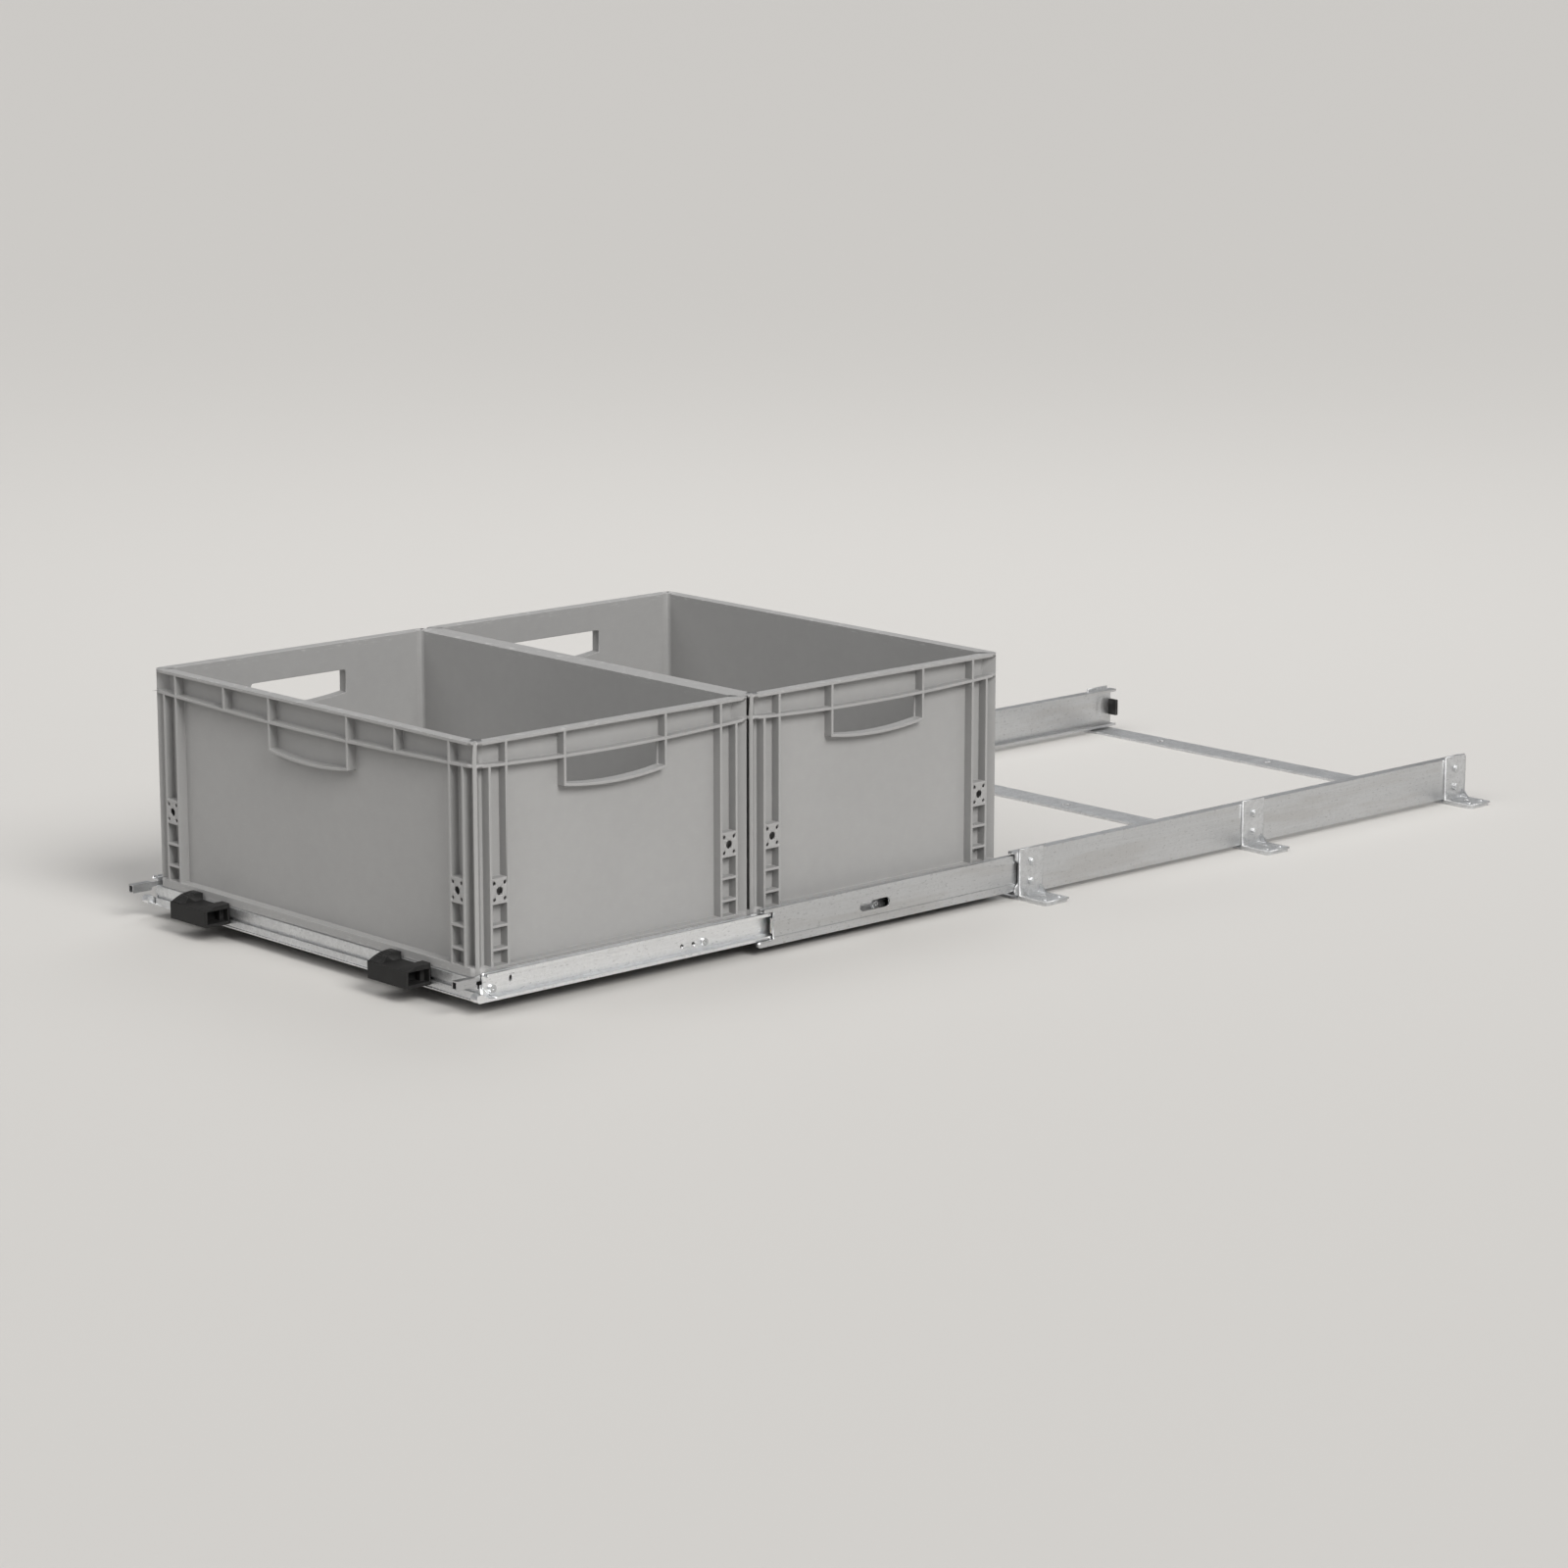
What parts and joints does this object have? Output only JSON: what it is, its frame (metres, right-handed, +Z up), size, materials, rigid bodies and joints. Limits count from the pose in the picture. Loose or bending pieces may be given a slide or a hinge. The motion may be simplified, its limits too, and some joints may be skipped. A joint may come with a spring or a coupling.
{
  "type": "pull-out crate carrier",
  "caption": "Full-extension slide-out carrier for a vehicle or cabinet floor, holding open lift-off stacking crates between telescopic ball-bearing rails",
  "frame": {"origin": "centre of the floor bolt pattern, on the underside of the floor bars", "axes": "+Z up from the floor, -Y the way the carriage pulls out, +X to the right as seen from the front"},
  "size_m": [0.74, 1.694, 0.3],
  "materials": {
    "crate_plastic": "plain mid grey moulded polypropylene, fine satin grain",
    "zinc_rail": "bright zinc-plated rolled steel, faint streaks",
    "zinc_rail_dull": "zinc-plated rolled steel, greased and slightly dull",
    "zinc_frame": "galvanised folded sheet, matt",
    "cage_steel": "thin pierced steel strip",
    "ball_steel": "polished bearing steel",
    "fastener_steel": "bright zinc-plated",
    "spring_steel": "drawn spring wire",
    "black_nylon": "near-black glass-filled nylon, fine grain",
    "pale_nylon": "unpigmented nylon, waxy and slightly grubby",
    "lever_steel": "grey plated steel",
    "buffer_rubber": "black rubber"
  },
  "bodies": {
    "floor_frame": {"fixed_rail_left": "zinc_rail_dull", "fixed_rail_right": "zinc_rail_dull", "floor_bar_front": "zinc_frame", "floor_bar_middle": "zinc_frame", "floor_bar_rear": "zinc_frame", "rail_brackets_left": "zinc_frame", "rail_brackets_right": "zinc_frame", "bracket_screws": "fastener_steel", "bar_rivets": "fastener_steel", "closing_buffers": "buffer_rubber"},
    "carriage": {"drawer_rail_left": "zinc_rail", "drawer_rail_right": "zinc_rail", "side_ledge_left": "zinc_frame", "side_ledge_right": "zinc_frame", "front_rail": "zinc_frame", "centre_rail": "zinc_frame", "rear_rail": "zinc_frame", "carriage_screws": "fastener_steel", "carriage_nuts": "fastener_steel", "catch_housing_left": "black_nylon", "catch_housing_right": "black_nylon", "catch_screws": "fastener_steel", "catch_spring_left": "spring_steel", "catch_spring_right": "spring_steel", "lever_pivots": "fastener_steel", "lever_spring_left": "spring_steel", "lever_spring_right": "spring_steel"},
    "slide_middle_left": {"middle_rail_left": "zinc_rail_dull", "middle_bumper_left": "pale_nylon"},
    "outer_race_left": {"outer_cage_left": "cage_steel", "outer_balls_left": "ball_steel"},
    "inner_race_left": {"inner_cage_left": "cage_steel", "inner_balls_left": "ball_steel"},
    "lever_left": {"release_lever_left": "lever_steel"},
    "button_left": {"catch_button_left": "black_nylon"},
    "slide_middle_right": {"middle_rail_right": "zinc_rail_dull", "middle_bumper_right": "pale_nylon"},
    "outer_race_right": {"outer_cage_right": "cage_steel", "outer_balls_right": "ball_steel"},
    "inner_race_right": {"inner_cage_right": "cage_steel", "inner_balls_right": "ball_steel"},
    "lever_right": {"release_lever_right": "lever_steel"},
    "button_right": {"catch_button_right": "black_nylon"},
    "front_crate": {"crate_front": "crate_plastic"},
    "rear_crate": {"crate_rear": "crate_plastic"}
  },
  "joints": [
    {"name": "carriage_slide", "type": "slide", "parent": "floor_frame", "child": "carriage", "axis": [0, 1, 0], "range_m": [0, 0.83]},
    {"name": "slide_middle_left_slide", "type": "slide", "parent": "floor_frame", "child": "slide_middle_left", "axis": [0, 1, 0], "range_m": [0, 0.415]},
    {"name": "outer_race_left_slide", "type": "slide", "parent": "floor_frame", "child": "outer_race_left", "axis": [0, 1, 0], "range_m": [0, 0.2075]},
    {"name": "inner_race_left_slide", "type": "slide", "parent": "floor_frame", "child": "inner_race_left", "axis": [0, 1, 0], "range_m": [0, 0.6225]},
    {"name": "lever_left_press", "type": "hinge", "parent": "carriage", "child": "lever_left", "pos_m": [-0.3046, -1.186, 0.042], "axis": [1, 0, 0], "range_deg": [0, 3.5], "stiffness_Nm_per_rad": 2, "springref_deg": -6.88, "deforming": ["lever_spring_left"]},
    {"name": "button_left_press", "type": "slide", "parent": "carriage", "child": "button_left", "axis": [0, 0, -1], "range_m": [0, 0.007], "stiffness_N_per_m": 400, "springref_m": -0.005, "deforming": ["catch_spring_left"]},
    {"name": "slide_middle_right_slide", "type": "slide", "parent": "floor_frame", "child": "slide_middle_right", "axis": [0, 1, 0], "range_m": [0, 0.415]},
    {"name": "outer_race_right_slide", "type": "slide", "parent": "floor_frame", "child": "outer_race_right", "axis": [0, 1, 0], "range_m": [0, 0.2075]},
    {"name": "inner_race_right_slide", "type": "slide", "parent": "floor_frame", "child": "inner_race_right", "axis": [0, 1, 0], "range_m": [0, 0.6225]},
    {"name": "lever_right_press", "type": "hinge", "parent": "carriage", "child": "lever_right", "pos_m": [0.3046, -1.186, 0.042], "axis": [1, 0, 0], "range_deg": [0, 3.5], "stiffness_Nm_per_rad": 2, "springref_deg": -6.88, "deforming": ["lever_spring_right"]},
    {"name": "button_right_press", "type": "slide", "parent": "carriage", "child": "button_right", "axis": [0, 0, -1], "range_m": [0, 0.007], "stiffness_N_per_m": 400, "springref_m": -0.005, "deforming": ["catch_spring_right"]},
    {"name": "front_crate_lift", "type": "slide", "parent": "carriage", "child": "front_crate", "axis": [0, 0, 1], "range_m": [0, 0.35]},
    {"name": "rear_crate_lift", "type": "slide", "parent": "carriage", "child": "rear_crate", "axis": [0, 0, 1], "range_m": [0, 0.35]}
  ],
  "couplings": [
    {"joint": "slide_middle_left_slide", "follows": "carriage_slide", "ratio": 0.5},
    {"joint": "outer_race_left_slide", "follows": "carriage_slide", "ratio": 0.25},
    {"joint": "inner_race_left_slide", "follows": "carriage_slide", "ratio": 0.75},
    {"joint": "slide_middle_right_slide", "follows": "carriage_slide", "ratio": 0.5},
    {"joint": "outer_race_right_slide", "follows": "carriage_slide", "ratio": 0.25},
    {"joint": "inner_race_right_slide", "follows": "carriage_slide", "ratio": 0.75}
  ]
}
